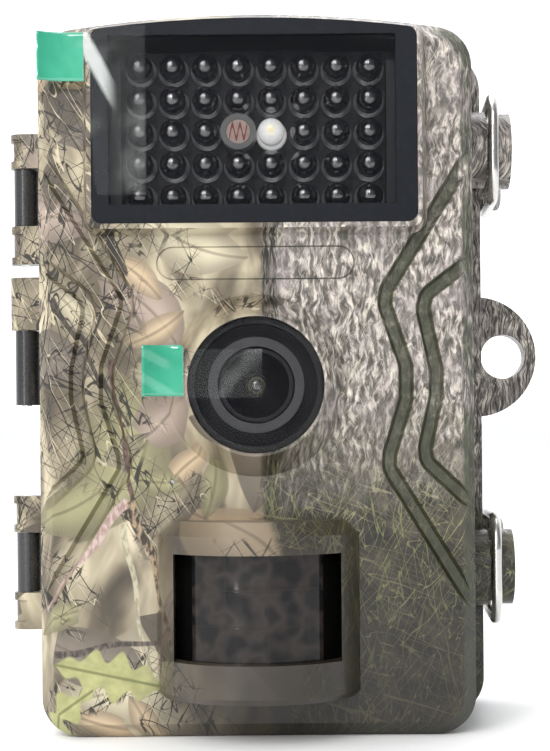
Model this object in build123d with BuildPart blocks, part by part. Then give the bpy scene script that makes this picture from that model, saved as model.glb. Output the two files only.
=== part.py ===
from build123d import *
from math import sqrt
import os

# Compact trail camera: a hinged two-shell case. The front shell is the door and carries the
# electronics; the rear shell is the fixed half and carries batteries, strap ribs and tripod nut.
# Millimetres. +X is the latch side, -Y is the way the camera looks, +Z is up.
# The origin is the mouth of the tripod socket in the base.

# ---- case ----
HALF_W = 40.7  # half width of the front shell
FLANGE_X = 44.4  # latch-side edge of the rear shell
CASE_H = 135.0
CROWN_R = 237.0  # radius of the arched top
CORNER_R = 7.3
WALL = 2.4
PARTING = 11.0  # the shells meet at y = -PARTING
FRONT = 37.0  # front face at y = -FRONT
BACK = 11.0  # back face at y = +BACK
EDGE_CHAMFER = 2.5
INSIDE_FRONT = FRONT - WALL
INSIDE_BACK = BACK - WALL

# ---- infrared window ----
BOSS_HALF_W = 32.0
BOSS_LOW = 93.6
BOSS_RISE = 3.0
WINDOW_HALF_W = 30.2
WINDOW_LOW = 95.5
WINDOW_TOP = 133.4
WINDOW_T = 1.8
WINDOW_LIP = 0.2
LED_PITCH_X = 6.14
LED_PITCH_Z = 6.05
LED_COLUMNS = 8
LED_ROWS = 5
LED_MID_Z = 113.0
LED_R = 2.5
LED_FLANGE_R = 2.9
LED_BOARD_Y = 29.6  # front face of the board

# ---- lens ----
LENS_Z = 65.5
BEZEL_BASE_R = 17.0
BEZEL_RIM_R = 13.2
BEZEL_RISE = 5.0
GLASS_R = 12.6
HOOD_R = 8.9
HOOD_BORE_R = 7.15
BARREL_R = 6.9

# ---- motion sensor ----
PIR_AXIS_Y = 30.0
PIR_R = 17.0
PIR_HOOD_R = 20.15
PIR_HALF_W = 15.4
PIR_LOW = 14.8
PIR_HIGH = 34.6
HOOD_LOW = 7.5
HOOD_HIGH = 40.5

# ---- hinge: a vertical pin line outside the left wall ----
HINGE_X = -46.5
PIN_R = 1.0
RUN_R = 1.05  # bore that turns on a pin
BARREL_OUT_R = 2.2
KNUCKLE_R = 2.8
AXIAL_GAP = 0.15
UPPER_KNUCKLES = [(90.3, 97.9), (109.4, 116.2)]
LOWER_KNUCKLES = [(17.8, 25.1), (37.1, 44.3)]
MIDDLE_KNUCKLE = (77.3, 87.7)
BARREL_SPANS = [(97.9, 109.4), (62.2, 77.3), (25.1, 37.1)]
PIN_SPANS = [(90.3, 116.2), (62.2, 87.7), (17.8, 44.3)]

# ---- latches ----
LATCH_Z = {"upper": 111.3, "lower": 29.9}
CATCH_Y = 20.0
DRUM_R = 7.35
GROOVE_R = 5.3
GROOVE_X = 44.3
LIP_X = 46.9
LIP_END_X = 49.3
LIP_SETBACK = 2.4  # the lip sits further back than the drum, so the wire can leave sideways
LEVER_PIVOT = (46.9, -4.0)
BAIL_PIVOT = (46.7, 4.0)
WIRE_R = 1.0
BAIL_TIP = (45.6, -26.4)
BAIL_HALF_H = 9.9
LEVER_HALF_H = 8.4

# ---- padlock eye ----
TAB_X = 43.4
TAB_Z = 71.3
TAB_R = 12.0
EYE_X = 48.8
EYE_R = 4.4

# ---- inside ----
COVER_BACK = 12.5  # panel face that shows when the door is open
COVER_FRONT = 14.5
BOARD_BACK = 17.4
BOARD_FRONT = 19.0
POSTS = [(-35.0, 14.0), (35.0, 14.0), (-35.0, 119.0), (35.0, 119.0)]
LCD_MID = (0.0, 99.5)
KEYS = {
    "menu": (-24.0, 68.0),
    "ok": (14.0, 62.0),
    "up": (14.0, 71.5),
    "down": (14.0, 52.5),
    "left": (4.5, 62.0),
    "right": (23.5, 62.0),
}
KEY_R = 3.0
SWITCH_MID = (-14.0, 52.0)
SPEAKER_MID = (23.0, 32.0)
TRAY_SCREW_X = 35.0
TRAY_SCREW_Z = [72.0, 112.0]
POWER_Z = 46.0
POWER_X = [-26.0, -18.0]
CELL_R = 7.25
CELL_L = 50.5
CELL_PITCH = 15.2
CELL_LOW = 69.8
CELL_Y = 0.5
JACK_X = 24.0
FLAP_T = 1.35
FLAP_HINGE_X = 29.6
SOCKET_R = 3.175
SOCKET_L = 8.0

os.makedirs("parts", exist_ok=True)


def save(part, name):
    """Label one finished piece and write it to its own file."""
    part.label = name
    export_step(part, f"parts/{name}.step")


def crown(x, top):
    """Height of the arched top at x, for an arch whose middle is at top."""
    return top - (CROWN_R - sqrt(CROWN_R**2 - x**2))


def arched(left, right, low, high, radius):
    """A face with straight sides, a flat bottom, an arched top and rounded corners."""
    with BuildSketch(mode=Mode.PRIVATE) as face:
        with BuildLine():
            Polyline((left, crown(left, high)), (left, low), (right, low), (right, crown(right, high)))
            ThreePointArc((right, crown(right, high)), (0, high), (left, crown(left, high)))
        make_face()
        fillet(face.vertices(), radius)
    return face.sketch


def case_face(inset=0.0, right=HALF_W):
    """The front view of the case, drawn in by inset."""
    return arched(-HALF_W + inset, right - inset, inset, CASE_H - inset, CORNER_R - inset)


def slab(x, y, z, mode=Mode.ADD):
    """A block between two limits on each axis."""
    middle = ((x[0] + x[1]) / 2, (y[0] + y[1]) / 2, (z[0] + z[1]) / 2)
    with Locations(middle):
        Box(x[1] - x[0], y[1] - y[0], z[1] - z[0], mode=mode)


def rod_y(x, z, y, radius, mode=Mode.ADD):
    """A round bar along Y."""
    with Locations((x, (y[0] + y[1]) / 2, z)):
        Cylinder(radius, abs(y[1] - y[0]), rotation=(90, 0, 0), mode=mode)


def rod_x(y, z, x, radius, mode=Mode.ADD):
    """A round bar along X."""
    with Locations(((x[0] + x[1]) / 2, y, z)):
        Cylinder(radius, x[1] - x[0], rotation=(0, 90, 0), mode=mode)


def rod_z(x, y, z, radius, mode=Mode.ADD):
    """A round bar along Z."""
    with Locations((x, y, (z[0] + z[1]) / 2)):
        Cylinder(radius, z[1] - z[0], mode=mode)


def arc_face(radius, chord_y):
    """The part of a circle about the motion sensor's axis that lies in front of a chord."""
    half = sqrt(radius**2 - (chord_y - PIR_AXIS_Y) ** 2)
    with BuildSketch(mode=Mode.PRIVATE) as face:
        with BuildLine():
            ThreePointArc((-half, -chord_y), (0, -PIR_AXIS_Y - radius), (half, -chord_y))
            Line((half, -chord_y), (-half, -chord_y))
        make_face()
    return face.sketch


# ---------------------------------------------------------------- front shell (the door)
OUTER_GROOVE = [
    (41.5, 89.6),
    (31.8, 82.3),
    (31.1, 79.5),
    (33.5, 68.3),
    (33.5, 63.3),
    (31.3, 53.4),
    (31.7, 51.0),
    (41.5, 41.7),
]
INNER_GROOVE = [
    (41.5, 110.6),
    (24.3, 83.1),
    (24.0, 80.4),
    (27.9, 68.9),
    (27.9, 62.8),
    (24.8, 52.7),
    (24.6, 49.9),
    (41.5, 22.1),
]
GROOVE_W = 3.0
GROOVE_D = 1.3
GROOVE_TAPER = 28  # degrees
GROOVE_BEND_R = 3.0
BOSS_TAPER = 18  # degrees
HOOD_TOP_CHAMFER = 2.6
HOOD_FOOT_CHAMFER = 1.2
BADGE_MID = (0, 88.3)
BADGE_L = 37.0
BADGE_H = 6.3
BADGE_LINE = 0.3
MIC_PLACE = (-15.9, 47.5)
MIC_BORE_R = 0.45
LED_POSTS = [(-30.2, 98.5), (-30.2, 126.5), (30.2, 98.5), (30.2, 126.5)]
SENSOR_BOARD_FRONT = 24.6
PIR_BOARD_FRONT = 29.0

with BuildPart() as front_shell:
    with BuildSketch(Plane.XZ.offset(PARTING)):
        add(case_face())
    extrude(amount=FRONT - PARTING)
    chamfer(front_shell.faces().sort_by(Axis.Y)[0].edges(), EDGE_CHAMFER)
    # raised frame of the infrared window, standing on the front face
    with BuildSketch(Plane.XZ.offset(INSIDE_FRONT + 0.1)):
        add(arched(-BOSS_HALF_W, BOSS_HALF_W, BOSS_LOW, CASE_H - 0.7, 3.0))
    extrude(amount=FRONT - INSIDE_FRONT - 0.1)
    with BuildSketch(Plane.XZ.offset(FRONT)):
        add(arched(-BOSS_HALF_W, BOSS_HALF_W, BOSS_LOW, CASE_H - 0.7, 3.0))
    extrude(amount=BOSS_RISE, taper=BOSS_TAPER)
    # inside of the shell
    with BuildSketch(Plane.XZ.offset(PARTING)):
        add(case_face(WALL))
    extrude(amount=INSIDE_FRONT - PARTING, mode=Mode.SUBTRACT)
    # seat of the window, and the opening behind it
    with BuildSketch(Plane.XZ.offset(FRONT + BOSS_RISE)):
        add(arched(-WINDOW_HALF_W, WINDOW_HALF_W, WINDOW_LOW, WINDOW_TOP, 2.0))
    extrude(amount=-WINDOW_T - WINDOW_LIP, mode=Mode.SUBTRACT)
    with BuildSketch(Plane.XZ.offset(FRONT + BOSS_RISE)):
        add(arched(-WINDOW_HALF_W + 2, WINDOW_HALF_W - 2, WINDOW_LOW + 2, WINDOW_TOP - 2.4, 1.0))
    extrude(amount=-BOSS_RISE - WALL - 0.5, mode=Mode.SUBTRACT)
    # conical lens bezel
    with Locations((0, -FRONT - BEZEL_RISE / 2, LENS_Z)):
        Cone(BEZEL_BASE_R, BEZEL_RIM_R, BEZEL_RISE, rotation=(90, 0, 0))
    rod_y(0, LENS_Z, (-FRONT - BEZEL_RISE, -FRONT - BEZEL_RISE + 1.6), GLASS_R + 0.05, Mode.SUBTRACT)
    rod_y(0, LENS_Z, (-FRONT - BEZEL_RISE, -INSIDE_FRONT + 0.5), GLASS_R - 1.2, Mode.SUBTRACT)
    # hood of the motion sensor
    with BuildSketch(Plane.XY.offset(HOOD_LOW)):
        add(arc_face(PIR_HOOD_R, FRONT - 0.5))
    extrude(amount=HOOD_HIGH - HOOD_LOW)
    round_edges = front_shell.edges().filter_by(GeomType.CIRCLE)
    hood_rims = round_edges.filter_by(lambda edge: abs(edge.radius - PIR_HOOD_R) < 0.01)
    chamfer(hood_rims.sort_by(Axis.Z)[-1], HOOD_TOP_CHAMFER)
    chamfer(hood_rims.sort_by(Axis.Z)[0], HOOD_FOOT_CHAMFER)
    with BuildSketch(Plane.XY.offset(PIR_LOW - 3.4)):
        add(arc_face(PIR_R + 0.05, INSIDE_FRONT - 0.1))
    extrude(amount=PIR_HIGH - PIR_LOW + 5.8, mode=Mode.SUBTRACT)
    slab((-PIR_HALF_W, PIR_HALF_W), (-FRONT - 20, -FRONT - 0.3), (PIR_LOW, PIR_HIGH), Mode.SUBTRACT)
    # decorative channels, badge outline and microphone hole
    with BuildSketch(Plane.XZ.offset(FRONT)):
        for route in (OUTER_GROOVE, INNER_GROOVE):
            with BuildLine() as line:
                FilletPolyline(*route, radius=GROOVE_BEND_R)
            trace(line.line, GROOVE_W)
        mirror(about=Plane.YZ)
    extrude(amount=-GROOVE_D, taper=GROOVE_TAPER, mode=Mode.SUBTRACT)
    with BuildSketch(Plane.XZ.offset(FRONT)):
        with Locations(BADGE_MID):
            SlotOverall(BADGE_L, BADGE_H)
            SlotOverall(BADGE_L - 2 * BADGE_LINE, BADGE_H - 2 * BADGE_LINE, mode=Mode.SUBTRACT)
    extrude(amount=-BADGE_LINE, mode=Mode.SUBTRACT)
    rod_y(*MIC_PLACE, (-FRONT - 0.5, -INSIDE_FRONT + 0.5), MIC_BORE_R, Mode.SUBTRACT)
    # posts for the boards
    for x, z in POSTS:
        rod_y(x, z, (-INSIDE_FRONT - 0.1, -BOARD_FRONT), 2.6)
        rod_y(x, z, (-BOARD_FRONT - 8, -BOARD_FRONT), 1.2, Mode.SUBTRACT)
    for x, z in LED_POSTS:
        rod_y(x, z, (-INSIDE_FRONT - 0.1, -LED_BOARD_Y), 1.5)
    for x in (-12.0, 12.0):
        for z in (LENS_Z - 12, LENS_Z + 12):
            rod_y(x, z, (-INSIDE_FRONT - 0.1, -SENSOR_BOARD_FRONT), 1.6)
    for x in (-18.4, 18.4):
        for z in (18.0, 32.0):
            rod_y(x, z, (-INSIDE_FRONT - 0.1, -PIR_BOARD_FRONT), 1.5)
    # hinge knuckles: two rims and a slimmer waist, webbed to the wall
    for low, high in UPPER_KNUCKLES + LOWER_KNUCKLES:
        rod_z(HINGE_X, -PARTING, (low, high), KNUCKLE_R - 0.5)
        rod_z(HINGE_X, -PARTING, (low, low + 1.5), KNUCKLE_R)
        rod_z(HINGE_X, -PARTING, (high - 1.5, high), KNUCKLE_R)
        slab((HINGE_X, -HALF_W + 0.2), (-PARTING - KNUCKLE_R, -PARTING - 0.3), (low, high))
    rod_z(HINGE_X, -PARTING, MIDDLE_KNUCKLE, KNUCKLE_R + 0.2)
    slab((HINGE_X, -HALF_W + 0.2), (-PARTING - KNUCKLE_R - 0.2, -PARTING - 0.3), MIDDLE_KNUCKLE)
    for low, high in UPPER_KNUCKLES + LOWER_KNUCKLES + [MIDDLE_KNUCKLE]:
        rod_z(HINGE_X, -PARTING, (low - 0.1, high + 0.1), RUN_R, Mode.SUBTRACT)
    # catches: a drum, a groove for the wire and a lip, on the side wall
    for z in LATCH_Z.values():
        rod_x(-CATCH_Y, z, (HALF_W - 0.5, GROOVE_X), DRUM_R)
        rod_x(-CATCH_Y, z, (GROOVE_X - 0.5, LIP_X + 0.5), GROOVE_R)
        rod_x(-CATCH_Y + LIP_SETBACK, z, (LIP_X, LIP_END_X), DRUM_R)
save(front_shell.part, "front_shell")

# ---------------------------------------------------------------- infrared window and lamps
with BuildPart() as led_window:
    with BuildSketch(Plane.XZ.offset(FRONT + BOSS_RISE - WINDOW_LIP - WINDOW_T)):
        add(arched(-WINDOW_HALF_W + 0.1, WINDOW_HALF_W - 0.1, WINDOW_LOW + 0.1, WINDOW_TOP - 0.1, 1.9))
    extrude(amount=WINDOW_T)
save(led_window.part, "led_window")

with BuildPart() as led_board:
    with BuildSketch(Plane.XZ.offset(LED_BOARD_Y)):
        with Locations((0, 112.4)):
            RectangleRounded(63.6, 33.0, 1.5)
    extrude(amount=-1.6)
save(led_board.part, "led_board")

LED_PLACES = [
    ((column - (LED_COLUMNS - 1) / 2) * LED_PITCH_X, LED_MID_Z + (2 - row) * LED_PITCH_Z)
    for row in range(LED_ROWS)
    for column in range(LED_COLUMNS)
]
SENSOR_PLACE = LED_PLACES[2 * LED_COLUMNS + 3]
WHITE_PLACE = LED_PLACES[2 * LED_COLUMNS + 4]


def lamp(radius, flange, length):
    """Half section of a round lamp with a domed front, turned about its own axis."""
    with BuildPart(mode=Mode.PRIVATE) as body:
        with BuildSketch(Plane.XZ):
            with BuildLine():
                Polyline((0, 0), (flange, 0), (flange, 1.0), (radius, 1.0), (radius, length - radius))
                RadiusArc((radius, length - radius), (0, length), -radius)
                Line((0, length), (0, 0))
            make_face()
        revolve(axis=Axis.Z)
    return body.part


LED = lamp(LED_R, LED_FLANGE_R, 8.1)

with BuildPart() as ir_leds:
    for x, z in LED_PLACES:
        if (x, z) not in (SENSOR_PLACE, WHITE_PLACE):
            with Locations(Location((x, -LED_BOARD_Y, z), (90, 0, 0))):
                add(LED)
save(ir_leds.part, "ir_leds")

with BuildPart() as white_led:
    with Locations(Location((WHITE_PLACE[0], -LED_BOARD_Y, WHITE_PLACE[1]), (90, 0, 0))):
        add(LED)
save(white_led.part, "white_led")

with BuildPart() as sensor_collar:
    rod_y(*SENSOR_PLACE, (-LED_BOARD_Y - 6.4, -LED_BOARD_Y), LED_FLANGE_R)
    rod_y(*SENSOR_PLACE, (-LED_BOARD_Y - 6.4, -LED_BOARD_Y - 1.4), 3.35)
    rod_y(*SENSOR_PLACE, (-LED_BOARD_Y - 6.4, -LED_BOARD_Y - 4.4), 2.3, Mode.SUBTRACT)
save(sensor_collar.part, "sensor_collar")

with BuildPart() as light_sensor:
    rod_y(*SENSOR_PLACE, (-LED_BOARD_Y - 6.2, -LED_BOARD_Y - 4.4), 2.25)
save(light_sensor.part, "light_sensor")

with BuildPart() as led_rails:
    for x in (-26.0, 25.7):
        slab((x - 1.1, x + 1.1), (-LED_BOARD_Y - 7.0, -LED_BOARD_Y), (99.4, 126.0))
save(led_rails.part, "led_rails")

with BuildPart() as led_ribbon:
    slab((-7, 7), (-LED_BOARD_Y + 1.6, -BOARD_FRONT), (97.0, 97.3))
save(led_ribbon.part, "led_ribbon")

with BuildPart() as window_film:
    with BuildSketch(Plane.XZ.offset(FRONT + BOSS_RISE + 0.05)):
        with Locations((-24.8, 116.6)):
            RectangleRounded(9.6, 31.0, 0.8)
        with Locations((-34.6, 126.4)):
            RectangleRounded(11.2, 8.6, 1.2)
    extrude(amount=0.12)
save(window_film.part, "window_film")

# ---------------------------------------------------------------- lens stack
with BuildPart() as lens_cover:
    rod_y(0, LENS_Z, (-FRONT - BEZEL_RISE + 0.4, -FRONT - BEZEL_RISE + 1.6), GLASS_R)
save(lens_cover.part, "lens_cover")

with BuildPart() as lens_film:
    with BuildSketch(Plane.XZ.offset(FRONT + BEZEL_RISE + 0.05)):
        with Locations((-6.0, 67.6)):
            RectangleRounded(14.4, 9.0, 0.8)
        with Locations((-17.0, 68.2)):
            RectangleRounded(8.4, 9.4, 1.2)
    extrude(amount=0.12)
save(lens_film.part, "lens_film")

with BuildPart() as lens_hood:
    rod_y(0, LENS_Z, (-39.8, -INSIDE_FRONT + 1.4), HOOD_R)
    rod_y(0, LENS_Z, (-INSIDE_FRONT, -INSIDE_FRONT + 1.4), 13.5)
    rod_y(0, LENS_Z, (-39.8, -INSIDE_FRONT + 1.4), HOOD_BORE_R, Mode.SUBTRACT)
save(lens_hood.part, "lens_hood")

with BuildPart() as lens_barrel:
    rod_y(0, LENS_Z, (-38.6, -26.0), BARREL_R)
    with Locations((0, -36.85, LENS_Z)):
        Cone(2.1, 6.2, 3.6, rotation=(90, 0, 0), mode=Mode.SUBTRACT)
    rod_y(0, LENS_Z, (-36.0, -25.9), 2.1, Mode.SUBTRACT)
save(lens_barrel.part, "lens_barrel")

with BuildPart() as lens_element:
    with Locations((0, -34.4, LENS_Z)):
        Sphere(2.05)
    slab((-3, 3), (-34.4, -30.0), (LENS_Z - 3, LENS_Z + 3), Mode.SUBTRACT)
    rod_y(0, LENS_Z, (-34.4, -32.6), 2.05)
save(lens_element.part, "lens_element")

with BuildPart() as lens_holder:
    slab((-10, 10), (-33.0, -SENSOR_BOARD_FRONT), (LENS_Z - 10, LENS_Z + 10))
    rod_y(0, LENS_Z, (-33.1, -26.0), BARREL_R, Mode.SUBTRACT)
    rod_y(0, LENS_Z, (-26.1, -24.5), 4.2, Mode.SUBTRACT)
    slab((-10.1, 10.1), (-25.95, -25.15), (LENS_Z - 5.5, LENS_Z + 5.5), Mode.SUBTRACT)
save(lens_holder.part, "lens_holder")

with BuildPart() as ir_cut_filter:
    slab((-9.4, 3.4), (-25.8, -25.3), (LENS_Z - 5.2, LENS_Z + 5.2))
    rod_y(-3.0, LENS_Z, (-25.81, -25.29), 0.6, Mode.SUBTRACT)
save(ir_cut_filter.part, "ir_cut_filter")

with BuildPart() as sensor_board:
    slab((-14, 14), (-SENSOR_BOARD_FRONT, -23.0), (LENS_Z - 14, LENS_Z + 14))
save(sensor_board.part, "sensor_board")

with BuildPart() as image_sensor:
    slab((-2.8, 2.8), (-25.1, -SENSOR_BOARD_FRONT), (LENS_Z - 2.4, LENS_Z + 2.4))
save(image_sensor.part, "image_sensor")

with BuildPart() as microphone:
    rod_y(*MIC_PLACE, (-INSIDE_FRONT, -INSIDE_FRONT + 3.0), 3.0)
save(microphone.part, "microphone")

# ---------------------------------------------------------------- motion sensor
with BuildPart() as pir_window:
    with BuildSketch(Plane.XY.offset(PIR_LOW - 0.9)):
        add(arc_face(PIR_R, FRONT - 1.0))
    extrude(amount=PIR_HIGH - PIR_LOW + 1.8)
    with BuildSketch(Plane.XY.offset(PIR_LOW - 1.0)):
        add(arc_face(PIR_R - 0.8, FRONT - 1.1))
    extrude(amount=PIR_HIGH - PIR_LOW + 2.0, mode=Mode.SUBTRACT)
save(pir_window.part, "pir_window")

with BuildPart() as pir_sensor:
    rod_y(0, 25, (-PIR_BOARD_FRONT - 0.8, -PIR_BOARD_FRONT), 4.8)
    rod_y(0, 25, (-PIR_BOARD_FRONT - 4.4, -PIR_BOARD_FRONT), 4.1)
    slab((-2, 2), (-33.5, -33.2), (23.4, 26.6), Mode.SUBTRACT)
save(pir_sensor.part, "pir_sensor")

with BuildPart() as pir_board:
    slab((-20, 20), (-PIR_BOARD_FRONT, -27.8), (15, 35))
save(pir_board.part, "pir_board")

# ---------------------------------------------------------------- boards and panel inside the door
with BuildPart() as main_board:
    with BuildSketch(Plane.XZ.offset(BOARD_BACK)):
        with Locations((0, 66.5)):
            RectangleRounded(75.6, 112.0, 2.0)
        with Locations(*POSTS):
            Circle(1.5, mode=Mode.SUBTRACT)
    extrude(amount=BOARD_FRONT - BOARD_BACK)
save(main_board.part, "main_board")

with BuildPart() as inner_cover:
    with BuildSketch(Plane.XZ.offset(COVER_BACK)):
        add(case_face(WALL + 0.3))
        with Locations(LCD_MID):
            Rectangle(40.8, 30.6, mode=Mode.SUBTRACT)
        with Locations(*KEYS.values()):
            Circle(KEY_R + 0.25, mode=Mode.SUBTRACT)
        with Locations(SWITCH_MID):
            SlotOverall(15.0, 4.0, mode=Mode.SUBTRACT)
        with Locations(SPEAKER_MID):
            with GridLocations(2.4, 2.4, 5, 5):
                Circle(0.6, mode=Mode.SUBTRACT)
        with Locations((-27.0, 26.0)):
            Rectangle(19.0, 25.0, mode=Mode.SUBTRACT)
        with Locations((18.0, 12.5)):
            Rectangle(8.6, 4.4, mode=Mode.SUBTRACT)
        with Locations(*POSTS):
            Circle(1.5, mode=Mode.SUBTRACT)
    extrude(amount=COVER_FRONT - COVER_BACK)
    for x, z in POSTS:
        rod_y(x, z, (-BOARD_BACK, -COVER_FRONT), 2.6)
        rod_y(x, z, (-BOARD_BACK - 0.1, -COVER_FRONT + 0.1), 1.5, Mode.SUBTRACT)
save(inner_cover.part, "inner_cover")

with BuildPart() as cover_screws:
    for x, z in POSTS:
        rod_y(x, z, (-BOARD_FRONT - 7, -COVER_BACK), 1.2)
        rod_y(x, z, (-COVER_BACK, -COVER_BACK + 1.1), 2.4)
        cross = (-COVER_BACK + 0.5, -COVER_BACK + 1.2)
        slab((x - 1.6, x + 1.6), cross, (z - 0.3, z + 0.3), Mode.SUBTRACT)
        slab((x - 0.3, x + 0.3), cross, (z - 1.6, z + 1.6), Mode.SUBTRACT)
save(cover_screws.part, "cover_screws")

with BuildPart() as lcd_screen:
    slab((-24, 24), (-BOARD_BACK + 0.1, -COVER_FRONT - 0.05), (LCD_MID[1] - 18, LCD_MID[1] + 18))
save(lcd_screen.part, "lcd_screen")

with BuildPart() as key_mat:
    slab((-30, 30), (-BOARD_BACK, -BOARD_BACK + 0.8), (46.5, 77.5))
    slab((-22.5, -5.5), (-BOARD_BACK - 0.1, -BOARD_BACK + 0.9), (46.4, 57.0), Mode.SUBTRACT)
save(key_mat.part, "key_mat")

for key, (x, z) in KEYS.items():
    with BuildPart() as key_cap:
        rod_y(x, z, (-COVER_FRONT - 0.6, -COVER_BACK + 0.9), KEY_R)
        fillet(key_cap.edges().sort_by(Axis.Y)[-1], 0.4)
        rod_y(x, z, (-COVER_FRONT - 0.6, -COVER_FRONT - 0.2), KEY_R + 0.8)
    save(key_cap.part, f"key_{key}")

with BuildPart() as mode_switch_body:
    slab((-21.5, -6.5), (-BOARD_BACK, -BOARD_BACK + 2.0), (48.5, 55.5))
save(mode_switch_body.part, "mode_switch_body")

with BuildPart() as mode_switch_knob:
    slab((-20.4, -16.4), (-BOARD_BACK + 2.05, -COVER_BACK + 1.2), (50.4, 53.6))
save(mode_switch_knob.part, "mode_switch_knob")

with BuildPart() as card_slot:
    slab((-16, 10), (-BOARD_BACK, -COVER_FRONT - 0.1), (12.6, 39.4))
    slab((-16.1, 8), (-BOARD_BACK + 0.3, -COVER_FRONT - 0.4), (14.0, 38.0), Mode.SUBTRACT)
save(card_slot.part, "card_slot")

with BuildPart() as memory_card:
    with BuildSketch(Plane.XZ.offset(COVER_FRONT + 0.45)):
        with Locations((-8.6, 26.0)):
            Rectangle(32.0, 23.6)
        with Locations((6.4, 36.8)):
            Rectangle(3.0, 3.0, rotation=45, mode=Mode.SUBTRACT)
    extrude(amount=2.0)
save(memory_card.part, "memory_card")

with BuildPart() as usb_port:
    slab((14.2, 21.8), (-BOARD_BACK, -COVER_BACK - 0.2), (10.7, 14.3))
    slab((15.0, 21.0), (-BOARD_BACK + 1.0, -COVER_BACK), (11.4, 13.6), Mode.SUBTRACT)
save(usb_port.part, "usb_port")

with BuildPart() as speaker:
    rod_y(*SPEAKER_MID, (-BOARD_BACK, -COVER_FRONT - 0.1), 8.0)
save(speaker.part, "speaker")

with BuildPart() as power_pads:
    for x in POWER_X:
        rod_y(x, POWER_Z, (-COVER_BACK, -COVER_BACK + 0.3), 2.2)
save(power_pads.part, "power_pads")

# ---------------------------------------------------------------- rear shell (the fixed half)
RIB_X = [-26.0, 26.0]
RIB_DEPTH = 7.0
RIB_LOW = 22.0
RIB_HIGH = 116.0
STRAP_LOW = 54.0
STRAP_HIGH = 81.0
STRAP_DEPTH = 4.6
TOOTH = 5.0

with BuildPart() as rear_shell:
    with BuildSketch(Plane.XZ.offset(-BACK)):
        add(case_face(0, FLANGE_X))
    extrude(amount=BACK + PARTING)
    chamfer(rear_shell.faces().sort_by(Axis.Y)[-1].edges(), 2.0)
    with BuildSketch(Plane.XZ.offset(-INSIDE_BACK)):
        add(case_face(WALL))
    extrude(amount=INSIDE_BACK + PARTING, mode=Mode.SUBTRACT)
    # groove for the seal
    with BuildSketch(Plane.XZ.offset(PARTING)):
        add(case_face(0.6))
        add(case_face(1.8), mode=Mode.SUBTRACT)
    extrude(amount=-1.0, mode=Mode.SUBTRACT)
    # two toothed ribs that grip the trunk, with a slot through both for the strap
    for x in RIB_X:
        with BuildSketch(Plane.YZ.offset(x - 4)):
            with BuildLine():
                teeth = [(BACK - 0.5, RIB_LOW)]
                steps = int((RIB_HIGH - RIB_LOW - 8) / TOOTH)
                for step in range(steps + 1):
                    z = RIB_LOW + 4 + step * TOOTH
                    teeth.append((BACK + RIB_DEPTH - 1.4, z))
                    teeth.append((BACK + RIB_DEPTH, z + 0.8 * TOOTH))
                teeth.append((BACK - 0.5, RIB_HIGH))
                Polyline(*teeth, close=True)
            make_face()
        extrude(amount=8)
        strap = (BACK, BACK + STRAP_DEPTH)
        slab((x - 5, x + 5), strap, (STRAP_LOW, STRAP_HIGH), Mode.SUBTRACT)
    for z in (34.0, 47.0, 88.0, 101.0):
        slab((RIB_X[0], RIB_X[1]), (BACK - 0.5, BACK + 2.2), (z, z + 2.0))
    # padlock tab
    with BuildSketch(Plane.XZ.offset(PARTING - 1)):
        with Locations((TAB_X, TAB_Z)):
            Circle(TAB_R)
            with Locations((-TAB_R, 0)):
                Rectangle(2 * TAB_R, 2 * TAB_R, mode=Mode.SUBTRACT)
    extrude(amount=-6.0)
    rod_y(EYE_X, TAB_Z, (-PARTING - 1, -PARTING + 9), EYE_R, Mode.SUBTRACT)
    # boss of the tripod nut
    rod_z(0, 0, (WALL - 0.2, SOCKET_L + 1.6), 7.4)
    rod_z(0, 0, (-0.1, SOCKET_L), 4.8, Mode.SUBTRACT)
    # bosses for the battery tray, and the block that holds the power pins
    for x in (-TRAY_SCREW_X, TRAY_SCREW_X):
        for z in TRAY_SCREW_Z:
            rod_y(x, z, (-3.5, INSIDE_BACK + 0.1), 2.6)
    slab((POWER_X[0] - 4, POWER_X[1] + 4), (-6.0, INSIDE_BACK + 0.1), (POWER_Z - 4, POWER_Z + 4))
    # lugs for the latch pins
    for z in LATCH_Z.values():
        for low in (z - 6.6, z + 3.7):
            rod_z(*LEVER_PIVOT, (low, low + 2.9), 2.2)
            slab(
                (FLANGE_X - 0.2, LEVER_PIVOT[0]),
                (LEVER_PIVOT[1] - 2.2, LEVER_PIVOT[1] + 2.2),
                (low, low + 2.9),
            )
            rod_z(*LEVER_PIVOT, (low - 0.1, low + 3.0), PIN_R, Mode.SUBTRACT)
    # recess and hole of the power socket
    slab((JACK_X - 6.5, JACK_X + 6.5), (-5.0, 5.0), (-0.1, 1.5), Mode.SUBTRACT)
    rod_z(JACK_X, 0, (-0.1, WALL + 0.1), 3.2, Mode.SUBTRACT)
save(rear_shell.part, "rear_shell")

with BuildPart() as seal_gasket:
    with BuildSketch(Plane.XZ.offset(PARTING - 0.95)):
        add(case_face(0.65))
        add(case_face(1.75), mode=Mode.SUBTRACT)
    extrude(amount=0.9)
save(seal_gasket.part, "seal_gasket")

with BuildPart() as tripod_insert:
    rod_z(0, 0, (0, SOCKET_L), 4.8)
    rod_z(0, 0, (-0.1, SOCKET_L + 0.1), SOCKET_R, Mode.SUBTRACT)
save(tripod_insert.part, "tripod_insert")

# ---------------------------------------------------------------- hinge
with BuildPart() as hinge_barrels:
    for low, high in BARREL_SPANS:
        span = (low + AXIAL_GAP, high - AXIAL_GAP)
        rod_z(HINGE_X, -PARTING, span, BARREL_OUT_R)
        slab((HINGE_X, -HALF_W), (-PARTING + 0.3, -PARTING + BARREL_OUT_R), span)
        slab((-HALF_W - 1.4, -HALF_W), (-PARTING + 0.3, -PARTING + 8), span)
        rod_z(HINGE_X, -PARTING, (low, high), PIN_R, Mode.SUBTRACT)
save(hinge_barrels.part, "hinge_barrels")

with BuildPart() as hinge_pins:
    for low, high in PIN_SPANS:
        rod_z(HINGE_X, -PARTING, (low, high), PIN_R)
save(hinge_pins.part, "hinge_pins")

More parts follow.
